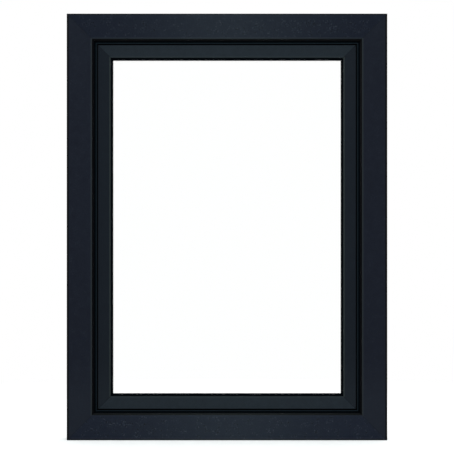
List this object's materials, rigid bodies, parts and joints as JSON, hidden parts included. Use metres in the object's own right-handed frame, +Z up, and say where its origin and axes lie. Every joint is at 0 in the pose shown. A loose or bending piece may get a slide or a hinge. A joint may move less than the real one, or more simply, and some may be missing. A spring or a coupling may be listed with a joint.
{
  "type": "pvc window",
  "caption": "Upright single-leaf PVC window with a dark bevelled frame, mitred sash, clear double glazing, black seals, and a lever handle and corner hinges on the room side.",
  "frame": {"origin": "middle of the frame's underside, at half the frame's depth", "axes": "+X to the right seen from outside, +Y towards the room, +Z up; the outside face looks to -Y"},
  "size_m": [0.8, 0.136, 1.065],
  "materials": {
    "frame_foil": "satin",
    "sash_foil": "satin",
    "bead_foil": "satin",
    "clear_glass": "polished",
    "spacer_metal": "satin",
    "black_rubber": "matte",
    "block_plastic": "matte",
    "galvanised_steel": "satin",
    "handle_coating": "satin",
    "hinge_coating": "satin"
  },
  "bodies": {
    "root": {"frame_head": "frame_foil", "frame_sill": "frame_foil", "frame_jamb_left": "frame_foil", "frame_jamb_right": "frame_foil", "sash_top_rail": "sash_foil", "sash_bottom_rail": "sash_foil", "sash_stile_left": "sash_foil", "sash_stile_right": "sash_foil", "glazing_bead_bottom": "bead_foil", "glazing_bead_top": "bead_foil", "glazing_bead_left": "bead_foil", "glazing_bead_right": "bead_foil", "outer_pane": "clear_glass", "inner_pane": "clear_glass", "spacer_bar": "spacer_metal", "edge_sealant": "black_rubber", "frame_seal": "black_rubber", "sash_seal": "black_rubber", "outer_glazing_seal": "black_rubber", "inner_glazing_seal": "black_rubber", "setting_block_left": "block_plastic", "setting_block_right": "block_plastic", "frame_steel_bottom": "galvanised_steel", "frame_steel_top": "galvanised_steel", "frame_steel_left": "galvanised_steel", "frame_steel_right": "galvanised_steel", "sash_steel_bottom": "galvanised_steel", "sash_steel_top": "galvanised_steel", "sash_steel_left": "galvanised_steel", "sash_steel_right": "galvanised_steel", "handle_rosette": "handle_coating", "handle_lever": "handle_coating", "hinge_lower_bracket": "hinge_coating", "hinge_lower_leaf": "hinge_coating", "hinge_upper_bracket": "hinge_coating", "hinge_upper_leaf": "hinge_coating"}
  },
  "joints": []
}
